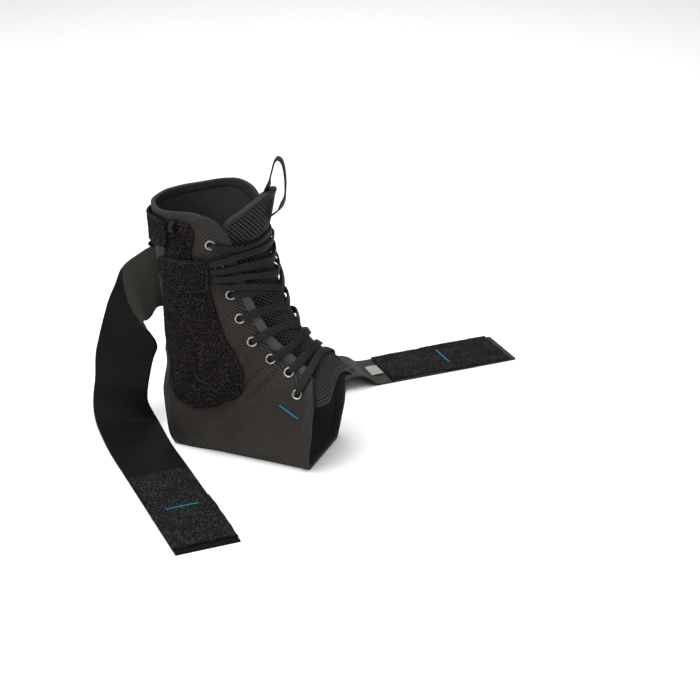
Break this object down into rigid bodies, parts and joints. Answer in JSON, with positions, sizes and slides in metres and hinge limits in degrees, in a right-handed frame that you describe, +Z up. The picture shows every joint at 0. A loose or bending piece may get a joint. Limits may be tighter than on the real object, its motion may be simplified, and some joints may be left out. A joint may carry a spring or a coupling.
{
  "type": "laced ankle brace with two stabilising straps",
  "caption": "Laced ankle brace, open at the heel and toes, with a mesh tongue, hook tabs and two loose stabilising straps, standing on its sole.",
  "frame": {"origin": "on the floor under the middle of the sole", "axes": "+X towards the toes, +Z up; the side that faces the viewer in the picture is at -Y"},
  "size_m": [0.2922, 0.4388, 0.242],
  "materials": {
    "shell_cloth": "dense nylon weave with a fine slanting grain, dull",
    "binding_tape": "smooth folded grosgrain tape, slightly silky",
    "tongue_mesh": "padded spacer mesh with rows of small holes",
    "small_tape": "narrow ribbed tape, dull",
    "ring_metal": "bright nickel, smooth",
    "lace_cord": "flat soft braided lace with fine ribs",
    "loop_pile": "fuzzy looped pile, very dull",
    "strap_elastic": "smooth elastic webbing, olive grey on its inner face",
    "hook_tape": "coarse ribbed hook tape, dull",
    "label_cloth": "bare woven label",
    "tack_thread": "dense satin stitch, slightly shiny"
  },
  "bodies": {
    "root": {"shell": "shell_cloth", "edge_binding": "binding_tape", "toe_binding": "binding_tape", "heel_binding": "binding_tape", "tongue_binding": "binding_tape", "tongue": "tongue_mesh", "pull_loop": "small_tape", "cuff_loop": "small_tape", "strap_keeper": "small_tape", "near_eyelet_1": "ring_metal", "near_eyelet_2": "ring_metal", "near_eyelet_3": "ring_metal", "near_eyelet_4": "ring_metal", "near_eyelet_5": "ring_metal", "near_eyelet_6": "ring_metal", "near_eyelet_7": "ring_metal", "near_eyelet_8": "ring_metal", "far_eyelet_1": "ring_metal", "far_eyelet_2": "ring_metal", "far_eyelet_3": "ring_metal", "far_eyelet_4": "ring_metal", "far_eyelet_5": "ring_metal", "far_eyelet_6": "ring_metal", "far_eyelet_7": "ring_metal", "far_eyelet_8": "ring_metal", "lace_1": "lace_cord", "lace_2": "lace_cord", "lace_3": "lace_cord", "lace_4": "lace_cord", "lace_5": "lace_cord", "lace_6": "lace_cord", "lace_7": "lace_cord", "lace_8": "lace_cord", "tab_lace_1": "lace_cord", "tab_lace_2": "lace_cord", "tab_lace_3": "lace_cord", "tab_lace_4": "lace_cord", "near_loop_field": "loop_pile", "far_loop_field": "loop_pile", "lace_tab": "loop_pile", "rear_tab": "loop_pile", "near_strap": "strap_elastic", "far_strap": "strap_elastic", "near_hook_tab": "hook_tape", "far_hook_tab": "hook_tape", "care_label": "label_cloth", "quarter_bar_tack": "tack_thread", "near_tab_bar_tack": "tack_thread", "far_tab_bar_tack": "tack_thread"}
  },
  "joints": []
}
